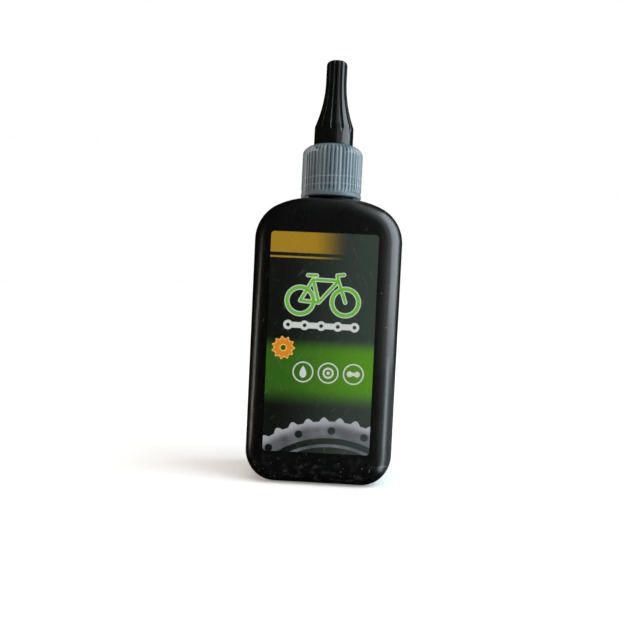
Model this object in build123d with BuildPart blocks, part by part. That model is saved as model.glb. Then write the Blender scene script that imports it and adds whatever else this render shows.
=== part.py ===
"""Bicycle chain lubricant bottle: flat blow-moulded flask with a front label, a ribbed screw closure
that carries the dosing spout, and a fluted cap pushed over the spout. Millimetres, +Z up, the label
faces -Y, and the origin is the middle of the base."""

import os
from math import atan2, degrees, radians, sin, tan

from build123d import *

os.makedirs("parts", exist_ok=True)

# Flask
body_width = 49.0
body_depth = 30.0
body_height = 94.9
body_wall = 1.2
crown_radius = 27.0
crown_turn = 26.0
corner_radius = 13.0
foot_cut = 6.0
edge_radius = 5.5
inside_chamfer = 3.3

# Neck of the flask
neck_diameter = 15.6
neck_bore = 11.0
neck_height = 16.1
neck_root = 3.0

# Label on the front panel
label_width = 34.9
label_height = 71.7
label_base = 11.25
label_shift = -0.95
label_tilt = 0.25
label_corner = 1.2
label_film = 0.15
label_glue = 0.03

# Skirt and dome of the screw closure
rim_gap = 1.2
rim_height = 1.3
rim_lip = 0.35
thread_depth = 1.0
thread_clearance = 0.15
skirt_wall = 1.1
seat_gap = 0.1
top_thickness = 2.6
dome_radius = 3.2
dome_facets = 3

# Grip ribs on the skirt
rib_count = 48
rib_depth = 0.3
rib_width = 0.65
rib_root = 0.4
rib_fade = 0.6

# Plug that seals the neck
plug_clearance = 0.12
plug_wall = 1.8
plug_length = 3.0

# Dosing spout
boss_diameter = 10.0
boss_height = 4.5
boss_roof = 1.4
spout_diameter = 5.0
spout_height = 21.0
spout_wall = 1.4

# Tip cap
cap_rest_gap = 0.1
cap_fit_clearance = 0.05
cap_inner_clearance = 0.25
cap_head_gap = 1.8
cap_crown = 1.8
cap_band_diameter = 13.4
cap_band_height = 6.5
cap_flare_width = 13.0
cap_stem_width = 7.0
cap_stem_height = 6.3
cap_facets = 3
cap_top_chamfer = 0.9
pin_clearance = 0.15
pin_entry = 1.2

# Flutes of the tip cap
flute_count = 12
flute_width = 0.9
flute_depth = 0.45
flute_phase = 24.0
flute_runout = 2.3

# Heights shared by the pieces
neck_top = body_height + neck_height
rim_base = body_height + rim_gap
rim_top = rim_base + rim_height
closure_seat = neck_top + seat_gap
closure_top = closure_seat + top_thickness
dome_base = closure_top - dome_radius
boss_top = closure_top + boss_height
spout_tip = boss_top + spout_height
cap_base = closure_top + cap_rest_gap
cap_break = cap_base + cap_band_height
cap_ceiling = spout_tip + cap_head_gap
cap_top = cap_ceiling + cap_crown

# The shoulder's two arcs turn from the level crown to the upright side, and what they leave of the
# half width is the level crown.
crown_sine = sin(radians(crown_turn))
crown_half = body_width / 2 - crown_radius * crown_sine - corner_radius * (1 - crown_sine)


def flask_outline(inset):
    """Front outline of the flask without its neck, shrunk by the inset."""
    foot = foot_cut + inset * tan(radians(45 / 2))
    with BuildSketch(Plane.XZ) as outline:
        with BuildLine():
            crown = Line((0, body_height - inset), (crown_half, body_height - inset))
            top = JernArc(crown @ 1, (1, 0), crown_radius - inset, -crown_turn)
            corner = JernArc(top @ 1, top % 1, corner_radius - inset, crown_turn - 90)
            Polyline(
                corner @ 1,
                (body_width / 2 - inset, foot),
                (body_width / 2 - foot, inset),
                (0, inset),
            )
            mirror(about=Plane.YZ)
        make_face()
    return outline.sketch


with BuildPart() as flask_outside:
    extrude(flask_outline(0), amount=body_depth / 2, both=True)
    panel_edges = flask_outside.faces().filter_by(Axis.Y).edges()
    foot_edges = flask_outside.edges().filter_by(Axis.Y).sort_by(Axis.Z)[:4]
    fillet(panel_edges + foot_edges, radius=edge_radius)

with BuildPart() as flask_inside:
    extrude(flask_outline(body_wall), amount=body_depth / 2 - body_wall, both=True)
    chamfer(flask_inside.faces().filter_by(Axis.Y).edges(), length=inside_chamfer)

with BuildPart() as bottle:
    add(flask_outside.part)
    with BuildSketch(Plane.XY.offset(body_height - neck_root)):
        Circle(neck_diameter / 2)
    extrude(amount=neck_height + neck_root)
    add(flask_inside.part, mode=Mode.SUBTRACT)
    with BuildSketch(Plane.XY.offset(body_height - neck_root)):
        Circle(neck_bore / 2)
    extrude(amount=neck_height + neck_root, mode=Mode.SUBTRACT)

bottle.part.label = "bottle"
export_step(bottle.part, "parts/bottle.step")

with BuildPart() as front_label:
    with BuildSketch(Plane.XZ.offset(body_depth / 2 + label_glue)):
        with Locations(Location((label_shift, label_base + label_height / 2), label_tilt)):
            RectangleRounded(label_width, label_height, label_corner)
    extrude(amount=label_film)

front_label.part.label = "front_label"
export_step(front_label.part, "parts/front_label.step")

# The closure is one moulding: skirt, dome, boss and spout outside, and the spout's bore, the plug
# and the skirt's bore inside.
skirt_bore = neck_diameter / 2 + thread_depth + thread_clearance
skirt_radius = skirt_bore + skirt_wall
plug_outer = neck_bore / 2 - plug_clearance
plug_inner = plug_outer - plug_wall
orifice = spout_diameter / 2 - spout_wall

with BuildPart() as closure_rib:
    with BuildSketch(Plane.XZ):
        with BuildLine():
            Polyline(
                (skirt_radius - rib_root, rim_top),
                (skirt_radius + rib_depth, rim_top),
                (skirt_radius + rib_depth, dome_base - rib_fade),
                (skirt_radius, dome_base),
                (skirt_radius - rib_root, dome_base),
                close=True,
            )
        make_face()
    extrude(amount=rib_width / 2, both=True)

with BuildPart() as nozzle_closure:
    with BuildSketch(Plane.XZ):
        with BuildLine():
            dome = JernArc((skirt_radius, dome_base), (0, 1), dome_radius, 90, mode=Mode.PRIVATE)
            Polyline(
                (skirt_bore, rim_base),
                (skirt_radius + rim_lip, rim_base),
                (skirt_radius + rim_lip, rim_top),
                (skirt_radius, rim_top),
                *(dome @ (step / dome_facets) for step in range(dome_facets + 1)),
                (boss_diameter / 2, closure_top),
                (boss_diameter / 2, boss_top),
                (spout_diameter / 2, boss_top),
                (spout_diameter / 2, spout_tip),
                (orifice, spout_tip),
                (orifice, boss_top - boss_roof),
                (plug_inner, boss_top - boss_roof),
                (plug_inner, closure_seat - plug_length),
                (plug_outer, closure_seat - plug_length),
                (plug_outer, closure_seat),
                (skirt_bore, closure_seat),
                close=True,
            )
        make_face()
    revolve(axis=Axis.Z)
    with PolarLocations(0, rib_count):
        add(closure_rib.part)

nozzle_closure.part.label = "nozzle_closure"
export_step(nozzle_closure.part, "parts/nozzle_closure.step")

# The tip cap follows the spout inside. Outside, a straight stem with a flat between each two flutes
# widens in a hollow sweep to the round band.
cap_bore = boss_diameter / 2 + cap_fit_clearance
cap_tip_bore = spout_diameter / 2 + cap_inner_clearance
bore_top = boss_top + cap_inner_clearance
pin_radius = orifice - pin_clearance


def cap_flank(inset):
    """Corners of the cap's outer line from the break above the band to its top, moved in by the inset."""
    stem = cap_stem_width / 2 - inset
    stem_foot = (stem, cap_top - cap_stem_height)
    flare_foot = (cap_flare_width / 2 - inset, cap_break)
    flare = TangentArc(stem_foot, flare_foot, tangent=(0, -1), mode=Mode.PRIVATE)
    corners = [flare @ (1 - step / cap_facets) for step in range(cap_facets + 1)]
    top_edge = Vector(stem, cap_top - cap_top_chamfer)
    return [*corners, top_edge, top_edge + (-cap_top_chamfer, cap_top_chamfer)]


with BuildPart() as flute:
    with BuildSketch(Plane.XZ):
        with BuildLine():
            Polyline(
                *cap_flank(flute_depth),
                (cap_band_diameter / 2 + flute_depth, cap_top),
                (cap_band_diameter / 2 + flute_depth, cap_break - 2 * flute_runout),
                close=True,
            )
        make_face()
    extrude(amount=flute_width / 2, both=True)

with BuildPart() as tip_cap:
    flank = cap_flank(0)
    for foot, head in zip(flank, flank[1:]):
        with BuildSketch(Plane.XY.offset(foot.Y)):
            RegularPolygon(foot.X, flute_count, major_radius=False, rotation=flute_phase)
        extrude(amount=head.Y - foot.Y, taper=degrees(atan2(foot.X - head.X, head.Y - foot.Y)))
    with BuildSketch(Plane.XY.offset(cap_base)):
        Circle(cap_band_diameter / 2)
    extrude(amount=cap_band_height)
    with PolarLocations(0, flute_count, start_angle=flute_phase):
        add(flute.part, mode=Mode.SUBTRACT)
    with BuildSketch(Plane.XY.offset(cap_base)):
        Circle(cap_bore)
    extrude(amount=bore_top - cap_base, mode=Mode.SUBTRACT)
    with BuildSketch(Plane.XY.offset(bore_top)):
        Circle(cap_tip_bore)
        Circle(pin_radius, mode=Mode.SUBTRACT)
    extrude(amount=cap_ceiling - bore_top, mode=Mode.SUBTRACT)
    with BuildSketch(Plane.XY.offset(bore_top)):
        Circle(pin_radius)
    extrude(amount=spout_tip - pin_entry - bore_top, mode=Mode.SUBTRACT)

tip_cap.part.label = "tip_cap"
export_step(tip_cap.part, "parts/tip_cap.step")
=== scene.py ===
import math

import bmesh
import bpy
from mathutils import Matrix, Vector


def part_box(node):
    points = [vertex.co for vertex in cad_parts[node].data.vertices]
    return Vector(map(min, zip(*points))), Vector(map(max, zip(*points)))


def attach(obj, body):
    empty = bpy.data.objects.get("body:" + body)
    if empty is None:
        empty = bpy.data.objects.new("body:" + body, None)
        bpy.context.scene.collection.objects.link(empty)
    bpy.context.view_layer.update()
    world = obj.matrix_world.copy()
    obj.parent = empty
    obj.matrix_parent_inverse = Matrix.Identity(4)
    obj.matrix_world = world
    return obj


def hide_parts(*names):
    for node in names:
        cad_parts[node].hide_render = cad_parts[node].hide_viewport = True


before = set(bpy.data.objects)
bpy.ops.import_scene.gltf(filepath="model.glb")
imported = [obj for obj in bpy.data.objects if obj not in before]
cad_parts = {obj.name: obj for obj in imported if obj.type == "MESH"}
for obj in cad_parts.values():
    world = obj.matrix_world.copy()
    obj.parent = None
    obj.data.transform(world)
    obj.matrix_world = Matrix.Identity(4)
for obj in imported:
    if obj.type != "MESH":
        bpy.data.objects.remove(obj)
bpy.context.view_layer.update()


# Flask
# Blow-moulded bottle of black polyethylene with flat panels, hollow and open at its neck. Its skin is
# satin, a little wavy and finely scratched, with dust on it, and a faint parting line runs round its
# narrow sides.
def paint(red, green, blue):
    """A colour as it looks on a screen, from 0 to 255, turned into the shader's linear values."""
    shares = [value / 255 for value in (red, green, blue)]
    linear = [s / 12.92 if s < 0.04045 else ((s + 0.055) / 1.055) ** 2.4 for s in shares]
    return (*linear, 1.0)


def new_surface(name, sockets):
    """A material with one Principled shader and the values that are the same all over the surface."""
    material = bpy.data.materials.new(name)
    material.use_nodes = True
    shader = material.node_tree.nodes["Principled BSDF"]
    for socket, value in sockets.items():
        shader.inputs[socket].default_value = value
    return material, shader


def feed(material, socket, value):
    """Links another node's output into a socket, or sets a plain value on it."""
    if isinstance(value, bpy.types.NodeSocket):
        material.node_tree.links.new(value, socket)
    else:
        socket.default_value = value


def add_node(material, kind, inputs=None, **settings):
    """A node of this kind with its settings made and its inputs fed."""
    node = material.node_tree.nodes.new(kind)
    for key, value in settings.items():
        setattr(node, key, value)
    for key, value in (inputs or {}).items():
        feed(material, node.inputs[key], value)
    return node


def calc(material, operation, *values):
    """One Math node, and its result."""
    node = add_node(material, "ShaderNodeMath", operation=operation)
    for socket, value in zip(node.inputs, values):
        feed(material, socket, value)
    return node.outputs[0]


def soft_step(material, value, edge, blur):
    """0 below an edge and 1 above it, with a soft change over the blur on both sides."""
    inputs = {"Value": value, "From Min": edge - blur, "From Max": edge + blur}
    node = add_node(material, "ShaderNodeMapRange", inputs, interpolation_type="SMOOTHSTEP")
    return node.outputs["Result"]


def between(material, value, low, high, blur):
    """1 from a low edge to a high one, and 0 outside."""
    above_low = soft_step(material, value, low, blur)
    above_high = soft_step(material, value, high, blur)
    return calc(material, "SUBTRACT", above_low, above_high)


def cover(material, below, colour, mask):
    """A colour laid over another one where the mask is 1."""
    mix = add_node(material, "ShaderNodeMix", data_type="RGBA")
    feed(material, mix.inputs[0], mask)
    feed(material, mix.inputs[6], below)
    feed(material, mix.inputs[7], colour)
    return mix.outputs[2]


def noise(material, place, scale, detail=2.0):
    """Plain noise between 0 and 1 at so many waves to the metre."""
    inputs = {"Vector": place, "Scale": scale, "Detail": detail}
    return add_node(material, "ShaderNodeTexNoise", inputs).outputs["Fac"]


def scratches(material, place, turn, rarity):
    """Short fine scratches in one direction on the broad sides, 1 on a scratch and 0 beside it."""
    stretch = 16.0
    drawn = add_node(material, "ShaderNodeMapping", {"Vector": place}, vector_type="TEXTURE")
    drawn.inputs["Rotation"].default_value = (0.0, turn, 0.0)
    drawn.inputs["Scale"].default_value = (1.0, 1.0, stretch)
    streaks = noise(material, drawn.outputs[0], scale=3200.0, detail=1.0)
    return soft_step(material, streaks, edge=rarity, blur=0.02)


def specks(material, place, scale, size, share):
    """Round specks of dust of a size, in a share of the cells of a random grid."""
    inputs = {"Vector": place, "Scale": scale}
    cells = add_node(material, "ShaderNodeTexVoronoi", inputs)
    dot = calc(material, "LESS_THAN", cells.outputs["Distance"], size)
    tone = add_node(material, "ShaderNodeSeparateColor", {"Color": cells.outputs["Color"]})
    chosen = calc(material, "LESS_THAN", tone.outputs["Red"], share)
    return calc(material, "MULTIPLY", dot, chosen)


def raised(material, shader, heights):
    """Bumps one over another on a shader's normal: pairs of a height and its depth in metres."""
    normal = None
    for height, depth in heights:
        inputs = {"Height": height, "Distance": depth}
        bump = add_node(material, "ShaderNodeBump", inputs)
        if normal:
            feed(material, bump.inputs["Normal"], normal)
        normal = bump.outputs["Normal"]
    feed(material, shader.inputs["Normal"], normal)


MM = 0.001
flask_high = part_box("bottle")[1]
half_width = flask_high.x
half_depth = flask_high.y
neck_top = flask_high.z
crown = neck_top - 16.1 * MM
crown_bend = 27.0 * MM
crown_turn = math.radians(26.0)
corner_bend = 13.0 * MM
crown_half = half_width - crown_bend * math.sin(crown_turn) - corner_bend * (1 - math.sin(crown_turn))
foot_bend = 10.2 * MM
edge_bend = 5.5 * MM
panel_inset = 2.1 * MM
bow_start = 16.9 * MM
panel_bow = 1.2 * MM
flask_wall = 1.2 * MM
neck_radius = 7.8 * MM
neck_bore = 5.5 * MM
neck_root = crown - 3.0 * MM
bore_overrun = 1.0 * MM
merge_reach = 0.01 * MM
face_on = 0.999
sharp_turn = math.radians(35.0)

flask_black = paint(8, 9, 8)
scuff_grey = paint(52, 55, 56)
scuff_share = 0.35
scuff_depth = 0.006 * MM
dust_grey = paint(150, 150, 146)
dust_share = 0.8
dust_top = 9.0 * MM
dust_fade = 3.0 * MM
smudge_share = 0.05
nick_start = 19.6 * MM
nick_end = 22.6 * MM
nick_height = 7.4 * MM
nick_width = 0.22 * MM
nick_share = 0.5
line_width = 0.15 * MM
line_rise = 0.06 * MM
wave_rise = 0.35 * MM
grain_rise = 0.006 * MM
smoothest_skin = 0.22
skin_change = 0.12
flask_shine = 0.5
neck_shine = 0.05

flask_skin, flask_shader = new_surface("satin_black_polyethylene", {"IOR": 1.54})
flask_place = add_node(flask_skin, "ShaderNodeTexCoord").outputs["Object"]
flask_axes = add_node(flask_skin, "ShaderNodeSeparateXYZ", {"Vector": flask_place}).outputs
rising = scratches(flask_skin, flask_place, turn=0.5, rarity=0.74)
falling = scratches(flask_skin, flask_place, turn=-0.9, rarity=0.75)
scuffs = calc(flask_skin, "MAXIMUM", rising, falling)
scuffed = cover(flask_skin, flask_black, scuff_grey, calc(flask_skin, "MULTIPLY", scuffs, scuff_share))
above_dust = soft_step(flask_skin, flask_axes["Z"], dust_top, dust_fade)
near_base = calc(flask_skin, "SUBTRACT", 1.0, above_dust)
clouds = noise(flask_skin, flask_place, scale=480.0, detail=5.0)
cloudy = soft_step(flask_skin, clouds, edge=0.60, blur=0.10)
smudges = calc(flask_skin, "MULTIPLY", cloudy, near_base)
smudged = cover(flask_skin, scuffed, dust_grey, calc(flask_skin, "MULTIPLY", smudges, smudge_share))
base_specks = specks(flask_skin, flask_place, scale=1300.0, size=0.15, share=0.14)
settled = calc(flask_skin, "MULTIPLY", base_specks, near_base)
stray = specks(flask_skin, flask_place, scale=500.0, size=0.06, share=0.10)
dust = calc(flask_skin, "MAXIMUM", settled, stray)
dusty = cover(flask_skin, smudged, dust_grey, calc(flask_skin, "MULTIPLY", dust, dust_share))
on_front = calc(flask_skin, "LESS_THAN", flask_axes["Y"], 0.0)
along_nick = between(flask_skin, flask_axes["X"], nick_start, nick_end, blur=0.3 * MM)
across_nick = between(flask_skin, flask_axes["Z"], nick_height, nick_height + nick_width, blur=0.08 * MM)
nick = calc(flask_skin, "MULTIPLY", calc(flask_skin, "MULTIPLY", along_nick, across_nick), on_front)
nicked = cover(flask_skin, dusty, dust_grey, calc(flask_skin, "MULTIPLY", nick, nick_share))
feed(flask_skin, flask_shader.inputs["Base Color"], nicked)
sheen_change = noise(flask_skin, flask_place, scale=70.0, detail=3.0)
feed(flask_skin, flask_shader.inputs["Roughness"],
     calc(flask_skin, "MULTIPLY_ADD", sheen_change, skin_change, smoothest_skin))
on_neck = soft_step(flask_skin, flask_axes["Z"], edge=crown + 0.1 * MM, blur=0.05 * MM)
feed(flask_skin, flask_shader.inputs["Specular IOR Level"],
     calc(flask_skin, "MULTIPLY_ADD", on_neck, neck_shine - flask_shine, flask_shine))
off_line = calc(flask_skin, "ABSOLUTE", flask_axes["Y"])
beside_line = soft_step(flask_skin, off_line, line_width, line_width)
raised(flask_skin, flask_shader, [
    (noise(flask_skin, flask_place, scale=55.0, detail=1.0), wave_rise),
    (noise(flask_skin, flask_place, scale=2400.0), grain_rise),
    (scuffs, -scuff_depth),
    (calc(flask_skin, "SUBTRACT", 1.0, beside_line), line_rise),
])


def swing(bm, start, centre, angle, steps):
    """Draws an arc of edges from a vertex round a centre in the front plane, and gives its end."""
    drawn = bmesh.ops.spin(bm, geom=[start], cent=centre, axis=(0, 1, 0), angle=angle, steps=steps)
    return next(item for item in drawn["geom_last"] if isinstance(item, bmesh.types.BMVert))


def draw_to(bm, start, place):
    """Draws a straight edge from a vertex to a place, and gives its end."""
    end = bm.verts.new(place)
    bm.edges.new((start, end))
    return end


def new_piece(name, bm, material):
    """A finished mesh as a smooth-shaded object at the origin."""
    mesh = bpy.data.meshes.new(name)
    bm.to_mesh(mesh)
    bm.free()
    mesh.shade_smooth()
    piece = bpy.data.objects.new(name, mesh)
    bpy.context.scene.collection.objects.link(piece)
    mesh.materials.append(material)
    return piece


flask_mesh = bmesh.new()
crown_middle = flask_mesh.verts.new((0.0, -half_depth, crown))
crown_end = draw_to(flask_mesh, crown_middle, (crown_half, -half_depth, crown))
crown_centre = Vector((crown_half, -half_depth, crown - crown_bend))
shoulder = swing(flask_mesh, crown_end, crown_centre, crown_turn, steps=8)
corner_centre = Vector((half_width - corner_bend, -half_depth, 0.0))
corner_centre.z = shoulder.co.z - corner_bend * math.cos(crown_turn)
side_top = swing(flask_mesh, shoulder, corner_centre, math.pi / 2 - crown_turn, steps=14)
side_foot = draw_to(flask_mesh, side_top, (half_width, -half_depth, foot_bend))
foot_centre = (half_width - foot_bend, -half_depth, foot_bend)
foot_end = swing(flask_mesh, side_foot, foot_centre, math.pi / 2, steps=14)
draw_to(flask_mesh, foot_end, (0.0, -half_depth, 0.0))
half_outline = flask_mesh.verts[:] + flask_mesh.edges[:]
bmesh.ops.mirror(flask_mesh, geom=half_outline, axis="X", merge_dist=merge_reach)
bmesh.ops.remove_doubles(flask_mesh, verts=flask_mesh.verts, dist=merge_reach)
front = bmesh.ops.contextual_create(flask_mesh, geom=flask_mesh.edges[:])["faces"]
pushed = bmesh.ops.extrude_face_region(flask_mesh, geom=front, use_keep_orig=True)["geom"]
back_verts = [item for item in pushed if isinstance(item, bmesh.types.BMVert)]
bmesh.ops.translate(flask_mesh, verts=back_verts, vec=(0.0, 2 * half_depth, 0.0))
bmesh.ops.recalc_face_normals(flask_mesh, faces=flask_mesh.faces)
panels = [face for face in flask_mesh.faces if abs(face.normal.y) > face_on]
panel_edges = [edge for panel in panels for edge in panel.edges]
bmesh.ops.bevel(flask_mesh, geom=panel_edges, offset=edge_bend, affect="EDGES", segments=10,
                profile=0.5, material=-1)
panels = [face for face in flask_mesh.faces if abs(face.normal.y) > face_on]
bmesh.ops.inset_region(flask_mesh, faces=panels, thickness=panel_inset, use_even_offset=True)
for vert in flask_mesh.verts:
    past_label = max(abs(vert.co.x) - bow_start, 0.0) / (half_width - bow_start)
    vert.co.y *= 1 - past_label**2 * panel_bow / half_depth
bmesh.ops.recalc_face_normals(flask_mesh, faces=flask_mesh.faces)
flask_mesh.normal_update()
cavity_mesh = flask_mesh.copy()
for vert in cavity_mesh.verts:
    vert.co -= vert.normal * flask_wall


def round_bar(radius, low, high):
    """An upright bar on the bottle's axis in a new mesh."""
    bm = bmesh.new()
    middle = Matrix.Translation((0.0, 0.0, (low + high) / 2))
    bmesh.ops.create_cone(bm, cap_ends=True, segments=96, radius1=radius, radius2=radius,
                          depth=high - low, matrix=middle)
    return bm


# The neck joins the flask, and the inside and the neck's bore are cut out of both. Each tool goes with
# its mesh once it has cut.
flask = new_piece("flask", flask_mesh, flask_skin)
for operation, tool_mesh in (
    ("UNION", round_bar(neck_radius, neck_root, neck_top)),
    ("DIFFERENCE", cavity_mesh),
    ("DIFFERENCE", round_bar(neck_bore, neck_root, neck_top + bore_overrun)),
):
    tool = new_piece("flask_tool", tool_mesh, flask_skin)
    cut = flask.modifiers.new("cut", "BOOLEAN")
    cut.operation = operation
    cut.solver = "EXACT"
    cut.object = tool
    uncut = flask.data
    evaluated = flask.evaluated_get(bpy.context.evaluated_depsgraph_get())
    flask.data = bpy.data.meshes.new_from_object(evaluated)
    flask.modifiers.clear()
    bpy.data.meshes.remove(uncut)
    bpy.data.meshes.remove(tool.data)
flask.data.name = "flask"
flask.data.set_sharp_from_angle(angle=sharp_turn)
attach(flask, "bottle")
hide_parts("bottle")


# Neck thread
# The neck's screw thread, moulded with the flask in the same black plastic. It shows faintly
# through the closure.
thread_root = 7.7 * MM
thread_crest = 8.6 * MM
thread_pitch = 2.5 * MM
thread_turns = 2.25
thread_start = 99.3 * MM
thread_root_width = 1.7 * MM
thread_crest_width = 0.7 * MM
steps_per_turn = 72

thread_mesh = bmesh.new()
thread_section = [
    thread_mesh.verts.new((radius, 0.0, thread_start + side * width / 2))
    for radius, width, side in (
        (thread_root, thread_root_width, -1),
        (thread_crest, thread_crest_width, -1),
        (thread_crest, thread_crest_width, 1),
        (thread_root, thread_root_width, 1),
    )
]
thread_face = thread_mesh.faces.new(thread_section)
bmesh.ops.spin(
    thread_mesh,
    geom=[thread_face, *thread_face.edges, *thread_section],
    cent=(0, 0, 0),
    axis=(0, 0, 1),
    dvec=(0, 0, thread_pitch / steps_per_turn),
    angle=math.tau * thread_turns,
    steps=int(steps_per_turn * thread_turns),
)
bmesh.ops.recalc_face_normals(thread_mesh, faces=thread_mesh.faces)
neck_thread = new_piece("neck_thread", thread_mesh, flask_skin)
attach(neck_thread, "bottle")


# Front label
# Printed plastic film glued to the front panel: a dark ground with a gold head, a green field and
# plain cycling signs in pale print, a little glossier than the flask and scratched with it.
label_low, label_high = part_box("front_label")
label_middle = (label_low.x + label_high.x) / 2
# The light ends of the ground and of the green field carry painted sheen as well as print.
ground_dark = paint(14, 17, 12)
ground_sheen_light = paint(47, 58, 52)
head_gold = paint(146, 114, 14)
green_dark = paint(42, 88, 6)
green_sheen_light = paint(74, 130, 12)
sign_green = paint(92, 166, 38)
pale_print = paint(186, 190, 186)
amber = paint(200, 118, 16)
amber_light = paint(228, 172, 72)
steel_dark = paint(62, 64, 68)
steel_light = paint(168, 170, 176)
print_blur = 0.10
per_metre = 1 / MM

film, film_shader = new_surface("printed_film", {"IOR": 1.5})
film_place = add_node(film, "ShaderNodeTexCoord").outputs["Object"]
in_millimetres = add_node(film, "ShaderNodeMapping", {"Vector": film_place})
in_millimetres.inputs["Scale"].default_value = (per_metre, per_metre, per_metre)
print_origin = Vector((-label_middle, 0.0, -label_low.z)) * per_metre
in_millimetres.inputs["Location"].default_value = print_origin
print_axes = add_node(film, "ShaderNodeSeparateXYZ", {"Vector": in_millimetres.outputs[0]}).outputs
across = print_axes["X"]
up = print_axes["Z"]


def squared(axis, value):
    """The square of the way along an axis from a value."""
    return calc(film, "POWER", calc(film, "ABSOLUTE", calc(film, "SUBTRACT", axis, value)), 2.0)


def distance_to(point):
    """How far the print is from a point given across from the label's middle and up from its foot."""
    return calc(film, "SQRT", calc(film, "ADD", squared(across, point[0]), squared(up, point[1])))


def distance_to_line(start, end):
    """How far the print is from a straight line between two points."""
    run = (end[0] - start[0], end[1] - start[1])
    length = math.hypot(*run)
    along_x = calc(film, "MULTIPLY", calc(film, "SUBTRACT", across, start[0]), run[0] / length**2)
    along_z = calc(film, "MULTIPLY", calc(film, "SUBTRACT", up, start[1]), run[1] / length**2)
    along = calc(film, "ADD", along_x, along_z)
    share = calc(film, "MINIMUM", calc(film, "MAXIMUM", along, 0.0), 1.0)
    foot_x = calc(film, "MULTIPLY_ADD", share, run[0], start[0])
    foot_z = calc(film, "MULTIPLY_ADD", share, run[1], start[1])
    return calc(film, "SQRT", calc(film, "ADD", squared(across, foot_x), squared(up, foot_z)))


def nearest(distances):
    """The smallest of several distances, which joins their shapes."""
    joined = distances[0]
    for distance in distances[1:]:
        joined = calc(film, "MINIMUM", joined, distance)
    return joined


def inside(distance, reach):
    """1 where a distance is within a reach."""
    return calc(film, "SUBTRACT", 1.0, soft_step(film, distance, reach, print_blur))


def drop_shape(middle, foot, width, height):
    """A drop with a round foot and a pointed top."""
    fullest = 0.385
    rise = calc(film, "MULTIPLY", calc(film, "SUBTRACT", up, foot), 1 / height)
    held = calc(film, "MINIMUM", calc(film, "MAXIMUM", rise, 0.0), 1.0)
    swell = calc(film, "MULTIPLY", calc(film, "SQRT", held), calc(film, "SUBTRACT", 1.0, held))
    drop_half = calc(film, "MULTIPLY", swell, width / 2 / fullest)
    from_middle = calc(film, "ABSOLUTE", calc(film, "SUBTRACT", across, middle))
    return inside(calc(film, "SUBTRACT", from_middle, drop_half), -print_blur)


def turn_about(centre):
    """The angle of the print round a centre."""
    rise = calc(film, "SUBTRACT", up, centre[1])
    return calc(film, "ARCTAN2", rise, calc(film, "SUBTRACT", across, centre[0]))


def toothed(centre, count, height):
    """The distance to a centre, less the height of so many teeth that stand round it."""
    gap_floor = -0.4
    wave = calc(film, "COSINE", calc(film, "MULTIPLY", turn_about(centre), count))
    teeth = calc(film, "MAXIMUM", wave, gap_floor)
    return calc(film, "MULTIPLY_ADD", teeth, -height, distance_to(centre))


# Ground, gold head and green field
head_foot = 65.0
rule_low = 63.3
rule_high = 63.9
field_foot = 18.4
field_top = 35.2
# Painted sheen: the ground and the green field turn lighter towards the right, partly a printed gradient
# and partly painted sheen of the light from the right.
sheen_rightwards = soft_step(film, across, edge=2.0, blur=17.0)
printed = cover(film, ground_dark, ground_sheen_light, sheen_rightwards)
gold_fade = calc(film, "SUBTRACT", 1.0, soft_step(film, across, edge=1.5, blur=6.5))
gold_head = calc(film, "MULTIPLY", soft_step(film, up, head_foot, print_blur), gold_fade)
gold_rule = calc(film, "MULTIPLY", between(film, up, rule_low, rule_high, print_blur), gold_fade)
printed = cover(film, printed, head_gold, calc(film, "MAXIMUM", gold_head, gold_rule))
green_rise = soft_step(film, up, field_foot, blur=3.8)
green_fall = calc(film, "SUBTRACT", 1.0, soft_step(film, up, field_top, blur=2.6))
field_green_with_sheen = cover(film, green_dark, green_sheen_light, sheen_rightwards)
printed = cover(film, printed, field_green_with_sheen, calc(film, "MULTIPLY", green_rise, green_fall))

# A bicycle sign, green with a pale edge
rear_hub = (-7.2, 49.6)
crank = (-1.2, 49.2)
front_hub = (7.4, 49.6)
seat_tube_top = (-3.3, 56.6)
head_tube = (4.9, 56.4)
bar_stem = (head_tube[0] - 0.4, head_tube[1] + 1.8)
bar_end = (head_tube[0] + 1.7, head_tube[1] + 2.1)
saddle_back = (seat_tube_top[0] - 1.7, seat_tube_top[1] + 1.3)
saddle_front = (seat_tube_top[0] + 1.1, seat_tube_top[1] + 1.3)
frame_tubes = [
    (rear_hub, crank),
    (crank, seat_tube_top),
    (seat_tube_top, head_tube),
    (head_tube, crank),
    (rear_hub, seat_tube_top),
    (head_tube, front_hub),
    (bar_stem, head_tube),
    (bar_stem, bar_end),
    (saddle_back, saddle_front),
]
wheel_radius = 4.3
tyre_half = 0.55
tube_half = 0.42
edge_print = 0.28
wheels = []
for hub in (rear_hub, front_hub):
    off_tyre = calc(film, "ABSOLUTE", calc(film, "SUBTRACT", distance_to(hub), wheel_radius))
    wheels.append(calc(film, "SUBTRACT", off_tyre, tyre_half))
tubes = [calc(film, "SUBTRACT", distance_to_line(*ends), tube_half) for ends in frame_tubes]
bicycle = nearest(wheels + tubes)
printed = cover(film, printed, pale_print, inside(bicycle, edge_print))
printed = cover(film, printed, sign_green, inside(bicycle, 0.0))

# A row of pale chain links under it
link_pitch = 5.4
link_row = 41.6
link_start = -10.8
pin_count = 5
link_half = 1.55
waist_half = 0.95
pin_half = 0.62
link_pins = [(link_start + step * link_pitch, link_row) for step in range(pin_count)]
plates = [calc(film, "SUBTRACT", distance_to(pin), link_half) for pin in link_pins]
plates.append(calc(film, "SUBTRACT", distance_to_line(link_pins[0], link_pins[-1]), waist_half))
links = inside(nearest(plates), 0.0)
pins = inside(nearest([distance_to(pin) for pin in link_pins]), pin_half)
printed = cover(film, printed, pale_print, calc(film, "SUBTRACT", links, pins))

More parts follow.
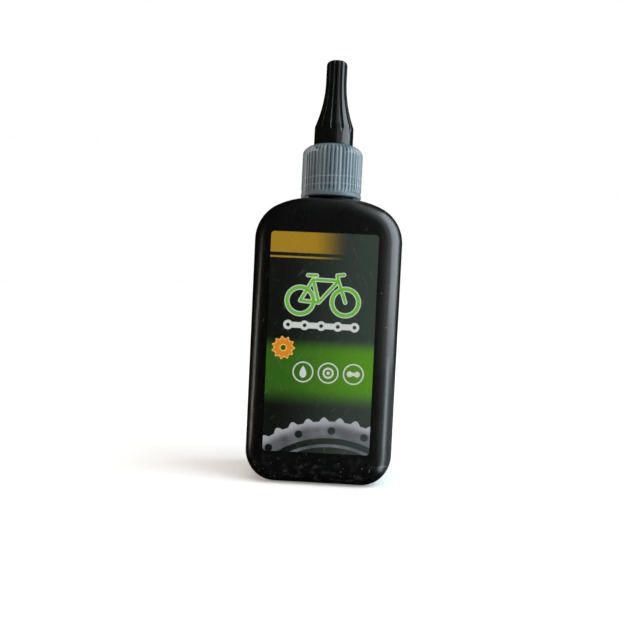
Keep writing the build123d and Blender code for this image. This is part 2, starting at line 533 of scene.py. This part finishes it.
# An amber sprocket at the left edge of the green field
sprocket = (-12.0, 34.0)
sprocket_reach = 3.0
sprocket_teeth = 11
sprocket_tooth = 0.5
sprocket_bore = 1.2
rim_print = 0.35
off_teeth = toothed(sprocket, sprocket_teeth, sprocket_tooth)
off_bore = distance_to(sprocket)
amber_edge = calc(film, "SUBTRACT", inside(off_teeth, sprocket_reach + rim_print),
                  inside(off_bore, sprocket_bore - rim_print))
amber_disc = calc(film, "SUBTRACT", inside(off_teeth, sprocket_reach), inside(off_bore, sprocket_bore))
printed = cover(film, printed, amber_light, amber_edge)
printed = cover(film, printed, amber, amber_disc)

# Three pale rings in the green field, each with a small sign in it
ring_row = 26.4
ring_middles = (-5.2, 3.0, 11.2)
ring_reach = 3.2
ring_half = 0.22
drop_width = 2.4
drop_height = 4.1
drop_foot = ring_row - 1.9
small_tyre_reach = 1.5
small_tyre_half = 0.32
small_hub_reach = 0.55
small_link_half = 1.2
small_eye_reach = 0.95
small_waist_half = 0.55
rings = [calc(film, "ABSOLUTE", calc(film, "SUBTRACT", distance_to((middle, ring_row)), ring_reach))
         for middle in ring_middles]
printed = cover(film, printed, pale_print, inside(nearest(rings), ring_half))
small_drop = drop_shape(ring_middles[0], drop_foot, drop_width, drop_height)
from_hub = distance_to((ring_middles[1], ring_row))
off_small_tyre = calc(film, "ABSOLUTE", calc(film, "SUBTRACT", from_hub, small_tyre_reach))
small_tyre = inside(off_small_tyre, small_tyre_half)
wheel_sign = calc(film, "MAXIMUM", small_tyre, inside(from_hub, small_hub_reach))
link_ends = [(ring_middles[2] + side * small_link_half, ring_row) for side in (-1, 1)]
small_link = nearest([
    calc(film, "SUBTRACT", distance_to(link_ends[0]), small_eye_reach),
    calc(film, "SUBTRACT", distance_to(link_ends[1]), small_eye_reach),
    calc(film, "SUBTRACT", distance_to_line(*link_ends), small_waist_half),
])
signs = calc(film, "MAXIMUM", calc(film, "MAXIMUM", small_drop, wheel_sign), inside(small_link, 0.0))
printed = cover(film, printed, pale_print, signs)

# A grey chainring that rises from the foot of the label
ring_centre = (5.0, -27.0)
ring_outer = 38.0
ring_inner = 32.2
tooth_count = 46
tooth_height = 0.95
hole_count = 20
hole_circle = 34.6
hole_reach = 1.25
rim_line_low = 29.2
rim_line_high = 30.2
steel_share = 0.6
steel_change = 0.5
steel_drop = 0.1
from_ring = distance_to(ring_centre)
ring_teeth = inside(toothed(ring_centre, tooth_count, tooth_height), ring_outer)
chainring = calc(film, "SUBTRACT", ring_teeth, inside(from_ring, ring_inner))
slice_half = math.pi / hole_count
within_slice = calc(film, "WRAP", turn_about(ring_centre), slice_half, -slice_half)
hole_x = calc(film, "MULTIPLY", from_ring, calc(film, "SINE", within_slice))
hole_z = calc(film, "MULTIPLY_ADD", from_ring, calc(film, "COSINE", within_slice), -hole_circle)
hole_square = calc(film, "MULTIPLY_ADD", hole_x, hole_x, calc(film, "MULTIPLY", hole_z, hole_z))
holes = inside(calc(film, "SQRT", hole_square), hole_reach)
steel_tone = soft_step(film, from_ring, edge=36.4, blur=1.6)
steel_clouds = noise(film, film_place, scale=160.0)
steel_lift = calc(film, "MULTIPLY_ADD", steel_clouds, steel_change, -steel_drop)
steel_light_share = calc(film, "ADD", calc(film, "MULTIPLY", steel_tone, steel_share), steel_lift)
steel = cover(film, steel_dark, steel_light, steel_light_share)
rim_line = between(film, from_ring, rim_line_low, rim_line_high, print_blur)
drilled_ring = calc(film, "SUBTRACT", chainring, holes)
printed = cover(film, printed, steel, calc(film, "MAXIMUM", drilled_ring, rim_line))

# Wear and gloss of the film
wear_grey = paint(150, 154, 150)
wear_share = 0.18
film_dust_share = 0.5
smoothest_film = 0.26
film_change = 0.12
film_wave = 0.25 * MM
wear_depth = 0.005 * MM
film_rising = scratches(film, film_place, turn=0.7, rarity=0.75)
film_falling = scratches(film, film_place, turn=-0.4, rarity=0.76)
film_scratches = calc(film, "MAXIMUM", film_rising, film_falling)
worn = cover(film, printed, wear_grey, calc(film, "MULTIPLY", film_scratches, wear_share))
film_dust = specks(film, film_place, scale=700.0, size=0.07, share=0.12)
worn = cover(film, worn, dust_grey, calc(film, "MULTIPLY", film_dust, film_dust_share))
feed(film, film_shader.inputs["Base Color"], worn)
film_sheen = noise(film, film_place, scale=90.0, detail=3.0)
film_roughness = calc(film, "MULTIPLY_ADD", film_sheen, film_change, smoothest_film)
feed(film, film_shader.inputs["Roughness"], film_roughness)
raised(film, film_shader, [
    (noise(film, film_place, scale=55.0, detail=1.0), film_wave),
    (film_scratches, -wear_depth),
])
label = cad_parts["front_label"]
label.data.materials.clear()
label.data.materials.append(film)


# Screw closure with its spout
# One moulding of natural, slightly blue polyethylene, screwed onto the neck and see-through enough to
# show it. Rounded grip ribs run from a plain rim up over the shoulder of the dome.
closure_low, closure_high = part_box("nozzle_closure")
rim_radius = closure_high.x
rim_base = closure_low.z
spout_tip = closure_high.z
rim_top = rim_base + 1.3 * MM
skirt_radius = rim_radius - 0.35 * MM
skirt_bore = skirt_radius - 1.1 * MM
cap_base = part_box("tip_cap")[0].z
closure_top = cap_base - 0.1 * MM
closure_seat = closure_top - 2.6 * MM
dome_round = 3.2 * MM
boss_radius = 5.0 * MM
boss_top = closure_top + 4.5 * MM
boss_roof = 1.4 * MM
spout_radius = 2.5 * MM
spout_bore = 1.1 * MM
plug_inner = 3.58 * MM
plug_outer = 5.38 * MM
plug_foot = closure_seat - 3.0 * MM
rib_count = 48
rib_height = 0.30 * MM
rib_squareness = 0.8
rib_foot_run = 0.8 * MM
rib_fade_start = closure_top - 2.0 * MM
rib_fade_end = closure_top - 0.5 * MM
steps_per_rib = 12
longest_closure_edge = 1.6 * MM
wall_share = 0.6 * MM
boss_clearance = 1.0 * MM
weld_reach = 0.001 * MM


def lathe_line(corners, rounds):
    """A closed outline of radius and height in a new mesh, with some of its corners rounded."""
    bm = bmesh.new()
    points = [bm.verts.new((radius, 0.0, height)) for radius, height in corners]
    for start, end in zip(points, points[1:] + points[:1]):
        bm.edges.new((start, end))
    for place, (reach, segments) in rounds.items():
        bmesh.ops.bevel(bm, geom=[points[place]], offset=reach, affect="VERTICES", segments=segments,
                        profile=0.5, material=-1)
    return bm


def divide_long_edges(bm, longest):
    """Cuts the edges of an outline that are longer than a limit."""
    for edge in bm.edges[:]:
        cuts = int(edge.calc_length() / longest)
        if cuts:
            bmesh.ops.subdivide_edges(bm, edges=[edge], cuts=cuts)


def turn_round(bm, steps):
    """Turns an outline once round the upright axis and closes it."""
    bmesh.ops.spin(bm, geom=bm.verts[:] + bm.edges[:], cent=(0, 0, 0), axis=(0, 0, 1),
                   angle=math.tau, steps=steps, use_merge=True)
    bmesh.ops.remove_doubles(bm, verts=bm.verts, dist=weld_reach)
    bmesh.ops.recalc_face_normals(bm, faces=bm.faces)


def smooth_share(value, low, high):
    """0 below a low value, 1 above a high one and a smooth rise between them."""
    share = min(max((value - low) / (high - low), 0.0), 1.0)
    return share * share * (3 - 2 * share)


closure_corners = [
    (skirt_bore, rim_base),
    (rim_radius, rim_base),
    (rim_radius, rim_top),
    (skirt_radius, rim_top),
    (skirt_radius, closure_top),
    (boss_radius, closure_top),
    (boss_radius, boss_top),
    (spout_radius, boss_top),
    (spout_radius, spout_tip),
    (spout_bore, spout_tip),
    (spout_bore, boss_top - boss_roof),
    (plug_inner, boss_top - boss_roof),
    (plug_inner, plug_foot),
    (plug_outer, plug_foot),
    (plug_outer, closure_seat),
    (skirt_bore, closure_seat),
]
# The reach and the steps of each rounding, by its corner's place in the list
closure_rounds = {
    1: (0.25 * MM, 3),
    2: (0.15 * MM, 3),
    4: (dome_round, 10),
    6: (0.5 * MM, 4),
    7: (0.4 * MM, 5),
    8: (0.4 * MM, 4),
    13: (0.4 * MM, 3),
    15: (0.7 * MM, 4),
}
closure_mesh = lathe_line(closure_corners, closure_rounds)
divide_long_edges(closure_mesh, longest_closure_edge)
rib_share = closure_mesh.verts.layers.float.new("rib_share")
for vert in closure_mesh.verts:
    outer_wall = vert.co.x > skirt_radius - wall_share and vert.co.z > rim_top
    outer_dome = vert.co.z > closure_top - dome_round and vert.co.x > boss_radius + boss_clearance
    if outer_wall or (outer_dome and vert.co.z > closure_seat + wall_share):
        foot_fade = smooth_share(vert.co.z, rim_top, rim_top + rib_foot_run)
        head_fade = 1 - smooth_share(vert.co.z, rib_fade_start, rib_fade_end)
        vert[rib_share] = foot_fade * head_fade
turn_round(closure_mesh, rib_count * steps_per_rib)
for vert in closure_mesh.verts:
    if vert[rib_share] > 0:
        around = math.atan2(vert.co.y, vert.co.x)
        crest = (0.5 + 0.5 * math.cos(rib_count * around)) ** rib_squareness
        reach = vert.co.xy.length
        vert.co.xy *= (reach + crest * rib_height * vert[rib_share]) / reach

# The rib tint is a painted highlight and the groove tint a painted shade, laid on the plain tint.
plain_tint = paint(98, 114, 122)
rib_highlight_tint = paint(150, 164, 170)
groove_shade_tint = paint(38, 55, 66)
streak_squash = 0.04
streak_share = 0.7
ribs_low = rim_top + 0.3 * MM
ribs_high = closure_top - 1.0 * MM
lines_low = rim_top + 1.2 * MM
lines_high = closure_seat - 7.0 * MM
line_start = 0.72
line_end = 0.86
thread_glint_level = 0.45
smoothest_resin = 0.28
resin_change = 0.12
resin_grain = 0.01 * MM
resin, resin_shader = new_surface("natural_polyethylene", {"IOR": 1.5, "Alpha": 0.65})
resin_place = add_node(resin, "ShaderNodeTexCoord").outputs["Object"]
resin_axes = add_node(resin, "ShaderNodeSeparateXYZ", {"Vector": resin_place}).outputs

# Painted highlight streaks on the rib crests and painted shade in the grooves
rib_angle = calc(resin, "ARCTAN2", resin_axes["Y"], resin_axes["X"])
rib_wave = calc(resin, "COSINE", calc(resin, "MULTIPLY", rib_angle, rib_count))
ribbed = between(resin, resin_axes["Z"], ribs_low, ribs_high, blur=0.6 * MM)
groove = calc(resin, "SUBTRACT", 1.0, soft_step(resin, rib_wave, edge=-0.2, blur=0.7))
groove_share = calc(resin, "MULTIPLY", groove, ribbed)
crest_share = calc(resin, "MULTIPLY", soft_step(resin, rib_wave, edge=0.3, blur=0.6), ribbed)
upright = add_node(resin, "ShaderNodeMapping", {"Vector": resin_place})
upright.inputs["Scale"].default_value = (1.0, 1.0, streak_squash)
streak_noise = noise(resin, upright.outputs[0], scale=520.0, detail=1.0)
streaks = soft_step(resin, streak_noise, edge=0.5, blur=0.17)
rib_highlight = calc(resin, "MULTIPLY", crest_share, streaks)
groove_shade_strength = calc(resin, "MULTIPLY_ADD", streaks, -streak_share, 1.0)
groove_shade_share = calc(resin, "MULTIPLY", groove_share, groove_shade_strength)
highlighted_tint = cover(resin, plain_tint, rib_highlight_tint, rib_highlight)
shaded_tint = cover(resin, highlighted_tint, groove_shade_tint, groove_shade_share)

# Painted highlight: bright lines that climb with the neck's thread, standing in for its glint seen
# through the closure
lead = calc(resin, "MULTIPLY", rib_angle, thread_pitch / math.tau)
above_lead = calc(resin, "SUBTRACT", resin_axes["Z"], lead)
off_lead = calc(resin, "SUBTRACT", above_lead, rim_base)
turn_share = calc(resin, "FRACT", calc(resin, "MULTIPLY", off_lead, 1 / thread_pitch))
thread_glint_line = between(resin, turn_share, line_start, line_end, blur=0.05)
threaded = between(resin, resin_axes["Z"], lines_low, lines_high, blur=0.4 * MM)
on_thread_glint = calc(resin, "MULTIPLY", thread_glint_line, threaded)
painted_thread_glint = calc(resin, "MULTIPLY", on_thread_glint, thread_glint_level)
feed(resin, resin_shader.inputs["Base Color"], cover(resin, shaded_tint, rib_highlight_tint, painted_thread_glint))
clouding = noise(resin, resin_place, scale=220.0, detail=3.0)
resin_roughness = calc(resin, "MULTIPLY_ADD", clouding, resin_change, smoothest_resin)
feed(resin, resin_shader.inputs["Roughness"], resin_roughness)
raised(resin, resin_shader, [(noise(resin, resin_place, scale=300.0), resin_grain)])
closure = new_piece("nozzle_closure_moulding", closure_mesh, resin)
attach(closure, "closure")
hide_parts("nozzle_closure")


# Tip cap
# Glossy black moulded cap pushed over the spout. A slim stem widens in a hollow sweep to a plain band,
# and twelve narrow flutes run down it and end in points just below the break.
cap_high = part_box("tip_cap")[1]
band_radius = cap_high.x
cap_top = cap_high.z
cap_break = cap_base + 6.5 * MM
stem_radius = 3.56 * MM
stem_foot = cap_top - 6.3 * MM
cap_bore = boss_radius + 0.05 * MM
cap_tip_bore = spout_radius + 0.25 * MM
cap_bore_top = boss_top + 0.25 * MM
cap_ceiling = cap_top - 1.8 * MM
pin_radius = 0.95 * MM
pin_foot = spout_tip - 1.2 * MM
flute_count = 12
flute_phase = math.radians(24.0)
flute_half = 0.50 * MM
flute_depth = 0.42 * MM
flute_end = cap_break - 2.3 * MM
flute_full = cap_break - 0.3 * MM
flute_fade = cap_top - 1.6 * MM
flute_loss = 0.6
flute_squareness = 8
flute_pitch = math.tau / flute_count
least_share = 0.02
painted_share = 0.3
plain_middle = 1.5 * MM
plain_foot = cap_base + 0.4 * MM
inner_limit = cap_tip_bore + 0.3 * MM
roof_limit = cap_ceiling + 0.2 * MM
steps_per_flute = 28
longest_cap_edge = 0.4 * MM

flare_run = band_radius - stem_radius
flare_rise = stem_foot - cap_break
flare_bend = (flare_run**2 + flare_rise**2) / (2 * flare_run)
flare_turn = math.asin(flare_rise / flare_bend)
cap_corners = [
    (stem_radius, stem_foot),
    (stem_radius, cap_top),
    (0.0, cap_top),
    (0.0, pin_foot),
    (pin_radius, pin_foot),
    (pin_radius, cap_ceiling),
    (cap_tip_bore, cap_ceiling),
    (cap_tip_bore, cap_bore_top),
    (cap_bore, cap_bore_top),
    (cap_bore, cap_base),
    (band_radius, cap_base),
    (band_radius, cap_break),
]
cap_mesh = bmesh.new()
cap_points = [cap_mesh.verts.new((radius, 0.0, height)) for radius, height in cap_corners]
for start, end in zip(cap_points, cap_points[1:]):
    cap_mesh.edges.new((start, end))
flare_centre = (stem_radius + flare_bend, 0.0, stem_foot)
bmesh.ops.spin(cap_mesh, geom=[cap_points[0]], cent=flare_centre, axis=(0, 1, 0),
               angle=-flare_turn, steps=24)
bmesh.ops.remove_doubles(cap_mesh, verts=cap_mesh.verts, dist=merge_reach)
for radius, height, reach in (
    (stem_radius, cap_top, 1.3 * MM),
    (band_radius, cap_base, 0.25 * MM),
    (band_radius, cap_break, 0.6 * MM),
):
    place = Vector((radius, 0.0, height))
    corner = min(cap_mesh.verts, key=lambda vert: (vert.co - place).length)
    bmesh.ops.bevel(cap_mesh, geom=[corner], offset=reach, affect="VERTICES", segments=6,
                    profile=0.5, material=-1)
divide_long_edges(cap_mesh, longest_cap_edge)
outer_share = cap_mesh.verts.layers.float.new("outer_share")
flute_share = cap_mesh.verts.layers.float.new("flute_share")
for vert in cap_mesh.verts:
    on_flare = vert.co.z > plain_foot and vert.co.x > inner_limit
    in_bore = vert.co.z < cap_bore_top + merge_reach and vert.co.x < cap_bore + merge_reach
    if (on_flare and not in_bore) or vert.co.z > roof_limit:
        vert[outer_share] = 1.0
turn_round(cap_mesh, flute_count * steps_per_flute)
for vert in cap_mesh.verts:
    reach = vert.co.xy.length
    if vert[outer_share] > 0 and reach > plain_middle:
        turned = math.atan2(vert.co.y, vert.co.x) - flute_phase
        around = (turned + flute_pitch / 2) % flute_pitch - flute_pitch / 2
        rising_share = smooth_share(vert.co.z, flute_end, flute_full)
        rising_share *= 1 - flute_loss * smooth_share(vert.co.z, flute_fade, cap_top)
        half = flute_half * max(rising_share, least_share) ** 0.5
        side = min(abs(around) * reach / half, 1.0)
        vert[flute_share] = (1 - side**flute_squareness) * rising_share
        vert.co.xy *= (reach - vert[flute_share] * flute_depth) / reach
# The faces deep in the flutes get a second material, matt and weakly reflecting, as painted shade inside
# the narrow flutes.
for face in cap_mesh.faces:
    in_flute = min(vert[flute_share] for vert in face.verts) > painted_share
    face.material_index = 1 if in_flute else 0

cap_black = paint(7, 8, 8)
cap_worn = paint(20, 21, 21)
cap_wear_share = 0.5
cap_change = 0.10
cap_grain = 0.01 * MM


def black_plastic(name, sockets, smoothest):
    """Black moulded plastic with marks of wear, from its smoothest places up."""
    plastic, shader = new_surface(name, sockets)
    place = add_node(plastic, "ShaderNodeTexCoord").outputs["Object"]
    wear_marks = noise(plastic, place, scale=260.0, detail=4.0)
    rubbed = cover(plastic, cap_black, cap_worn, calc(plastic, "MULTIPLY", wear_marks, cap_wear_share))
    feed(plastic, shader.inputs["Base Color"], rubbed)
    roughness = calc(plastic, "MULTIPLY_ADD", wear_marks, cap_change, smoothest)
    feed(plastic, shader.inputs["Roughness"], roughness)
    raised(plastic, shader, [(noise(plastic, place, scale=200.0), cap_grain)])
    return plastic


cap_plastic = black_plastic("glossy_black_plastic", {"IOR": 1.42}, smoothest=0.14)
# Painted shade: the flute faces' matt, weakly reflecting black.
flute_shade_sockets = {"IOR": 1.42, "Specular IOR Level": 0.12}
flute_shade_plastic = black_plastic("flute_shade_black", flute_shade_sockets, smoothest=0.5)
tip_cap = new_piece("tip_cap_fluted", cap_mesh, cap_plastic)
tip_cap.data.materials.append(flute_shade_plastic)
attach(tip_cap, "cap")
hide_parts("tip_cap")


# Floor and backdrop light
# A plain pale floor that keeps the shadow, in front of a white surround. Rays that the eye follows
# see the surround as white, and everything else gets its plain soft level.
def seen_rays(material):
    """1 for rays from the camera, a reflection or a see-through wall, and 0 for the light that falls."""
    path = add_node(material, "ShaderNodeLightPath").outputs
    seen = calc(material, "MAXIMUM", path["Is Camera Ray"], path["Is Glossy Ray"])
    return calc(material, "MAXIMUM", seen, path["Is Transmission Ray"])


floor_reach = 6.0
paper_white = 0.80
ramp_middle = 0.45
near_level = 0.20
level_rise = 0.56
floor_mesh = bmesh.new()
bmesh.ops.create_grid(floor_mesh, x_segments=1, y_segments=1, size=floor_reach)
floor_paper = bpy.data.materials.new("white_paper")
floor_paper.use_nodes = True
paper_nodes = floor_paper.node_tree.nodes
paper_nodes.remove(paper_nodes["Principled BSDF"])
paper_colour = (paper_white, paper_white, paper_white, 1.0)
paper_diffuse = add_node(floor_paper, "ShaderNodeBsdfDiffuse", {"Color": paper_colour})
paper_place = add_node(floor_paper, "ShaderNodeTexCoord").outputs["Object"]
paper_reach = add_node(floor_paper, "ShaderNodeVectorMath", operation="LENGTH")
feed(floor_paper, paper_reach.inputs[0], paper_place)
paper_far = soft_step(floor_paper, paper_reach.outputs["Value"], edge=ramp_middle, blur=ramp_middle)
paper_level = calc(floor_paper, "MULTIPLY_ADD", paper_far, level_rise, near_level)
paper_glow = add_node(floor_paper, "ShaderNodeEmission", {
    "Color": (1.0, 1.0, 1.0, 1.0),
    "Strength": calc(floor_paper, "MULTIPLY", seen_rays(floor_paper), paper_level),
})
paper_sum = add_node(floor_paper, "ShaderNodeAddShader")
feed(floor_paper, paper_sum.inputs[0], paper_diffuse.outputs[0])
feed(floor_paper, paper_sum.inputs[1], paper_glow.outputs[0])
feed(floor_paper, paper_nodes["Material Output"].inputs["Surface"], paper_sum.outputs[0])
floor = new_piece("floor", floor_mesh, floor_paper)

ambient_level = 0.32
world = bpy.data.worlds.new("studio")
world.use_nodes = True
bpy.context.scene.world = world
surround = world.node_tree.nodes["Background"]
surround.inputs["Color"].default_value = (1.0, 1.0, 1.0, 1.0)
surround_level = calc(world, "MULTIPLY_ADD", seen_rays(world), 1.0 - ambient_level, ambient_level)
feed(world, surround.inputs["Strength"], surround_level)


# Lamps, cards and strips
# A large cool softbox to the right, a weak warm fill on the left and a soft lamp overhead. Cloth cards
# and thin bright strips, which only reflections see, shape the shine of the black plastic as in a photo
# studio.
bottle_middle = Vector((0.0, 0.0, 0.07))


def softbox(name, place, size, watts, colour):
    """A rectangular area lamp that faces the middle of the bottle."""
    lamp = bpy.data.lights.new(name, "AREA")
    lamp.shape = "RECTANGLE"
    lamp.size = size[0]
    lamp.size_y = size[1]
    lamp.energy = watts
    lamp.color = colour
    holder = bpy.data.objects.new(name, lamp)
    holder.location = place
    holder.rotation_euler = (Vector(place) - bottle_middle).to_track_quat("Z", "Y").to_euler()
    bpy.context.scene.collection.objects.link(holder)
    return holder


softbox("window", place=(0.59, -0.10, 0.36), size=(0.68, 0.9), watts=9.4, colour=(0.76, 0.91, 1.0))
left_fill = softbox("left_fill", place=(-0.8, -0.35, 0.35), size=(0.4, 0.6), watts=4.0,
                    colour=(1.0, 0.70, 0.44))
left_fill.visible_glossy = False
overhead = softbox("overhead", place=(0.0, -0.35, 1.0), size=(1.0, 1.0), watts=5.0,
                   colour=(1.0, 1.0, 1.0))
overhead.visible_glossy = False


def card_cloth(name, colour, level):
    """A surface that mirrors nothing and glows evenly at a level."""
    return new_surface(name, {
        "Base Color": (0, 0, 0, 1),
        "Specular IOR Level": 0,
        "Emission Color": colour,
        "Emission Strength": level,
    })


def hang_card(name, corners, cloth):
    """A card that only reflections see."""
    card_mesh = bmesh.new()
    card_mesh.faces.new([card_mesh.verts.new(corner) for corner in corners])
    card = new_piece(name, card_mesh, cloth)
    card.visible_camera = False
    card.visible_diffuse = False
    card.visible_transmission = False
    card.visible_shadow = False


def level_card(name, outline, height, cloth):
    """A card that lies level at a height."""
    hang_card(name, [(*corner, height) for corner in outline], cloth)


card_front = -0.60
card_back = 0.60
card_left = -0.45
card_right = 0.20
card_far_right = 0.35
card_height = 1.2
card_lift = 0.4 * MM
front_left = (card_left, card_front)
front_right = (card_right, card_front)
back_left = (card_left, card_back)
back_middle = (0.0, card_back)
back_right = (0.10, card_back)
beside_front = (0.030, -0.016)
beside_back = (0.020, 0.016)
plain_white = (1.0, 1.0, 1.0, 1.0)
black_cloth = card_cloth("black_cloth", plain_white, level=0.0)[0]
grey_cloth = card_cloth("grey_cloth", plain_white, level=0.3)[0]
for name, start, end in (
    ("front_card", front_left, front_right),
    ("left_card", back_left, front_left),
    ("back_right_card", (0.33, 0.11), (0.10, 0.39)),
    ("back_card", back_right, back_left),
):
    upright_corners = [(*start, 0.0), (*end, 0.0), (*end, card_height), (*start, card_height)]
    hang_card(name, upright_corners, black_cloth)
level_card("top_card", [back_left, front_left, front_right, back_middle], card_height, black_cloth)
level_card("floor_card", [back_left, front_left, front_right, beside_front, beside_back, back_middle],
           card_lift, black_cloth)
level_card("right_floor_card", [
    beside_front,
    front_right,
    (card_far_right, card_front),
    (card_far_right, card_back),
    back_middle,
    beside_back,
], card_lift, grey_cloth)

# The left strip leans and fades out upwards, and the right one stands short and runs on over the floor
warm_white = (1.0, 0.92, 0.80, 1.0)
cool_white = (0.80, 0.94, 1.0, 1.0)
strip_foot = 1.0 * MM
left_strip_x = -63.5 * MM
left_strip_top = 105.0 * MM
left_strip_level = 6.8
left_strip_fade = 75.0 * MM
left_strip_blur = 30.0 * MM
right_strip_top = 38.0 * MM
strip_back = (0.062, -0.0198)
strip_front = (0.058, -0.0322)
floor_strip_start = (0.0275, -0.0125)
floor_strip_end = (0.0265, -0.0190)
floor_strip_lift = 0.8 * MM
left_glow, left_shader = card_cloth("left_strip_glow", warm_white, left_strip_level)
left_place = add_node(left_glow, "ShaderNodeTexCoord").outputs["Object"]
left_height = add_node(left_glow, "ShaderNodeSeparateXYZ", {"Vector": left_place}).outputs["Z"]
left_dark = soft_step(left_glow, left_height, left_strip_fade, left_strip_blur)
left_lit = calc(left_glow, "SUBTRACT", 1.0, left_dark)
feed(left_glow, left_shader.inputs["Emission Strength"],
     calc(left_glow, "MULTIPLY", left_lit, left_strip_level))
hang_card("left_strip", [
    (left_strip_x, -7.5 * MM, strip_foot),
    (left_strip_x, -3.5 * MM, strip_foot),
    (left_strip_x, -25.5 * MM, left_strip_top),
    (left_strip_x, -29.5 * MM, left_strip_top),
], left_glow)
right_glow = card_cloth("right_strip_glow", cool_white, level=6.2)[0]
hang_card("right_strip", [
    (*strip_back, strip_foot),
    (*strip_front, strip_foot),
    (*strip_front, right_strip_top),
    (*strip_back, right_strip_top),
], right_glow)
right_floor_glow = card_cloth("right_floor_strip_glow", cool_white, level=4.0)[0]
level_card("right_floor_strip", [floor_strip_start, floor_strip_end, strip_front, strip_back],
           floor_strip_lift, right_floor_glow)


# Camera
# Set where the photograph was taken from: close in front of the label, a little below the middle of
# the height, and slightly turned, dipped and rolled.
frame_pixels = 625
focal_pixels = 640.0
eye = Vector((2.15, -222.6, 63.9)) * MM
eye_yaw = math.radians(1.69)
eye_pitch = math.radians(-1.89)
eye_roll = math.radians(-2.76)
eye_turn = (
    Matrix.Rotation(eye_yaw, 4, "Z")
    @ Matrix.Rotation(eye_pitch, 4, "X")
    @ Matrix.Rotation(eye_roll, 4, "Y")
    @ Matrix.Rotation(math.pi / 2, 4, "X")
)
camera_data = bpy.data.cameras.new("camera")
camera_data.sensor_width = 36.0
camera_data.lens = camera_data.sensor_width * focal_pixels / frame_pixels
camera_data.clip_start = 0.01
camera = bpy.data.objects.new("camera", camera_data)
camera.matrix_world = Matrix.Translation(eye) @ eye_turn
bpy.context.scene.collection.objects.link(camera)
bpy.context.scene.camera = camera
bpy.context.scene.view_settings.view_transform = "Standard"
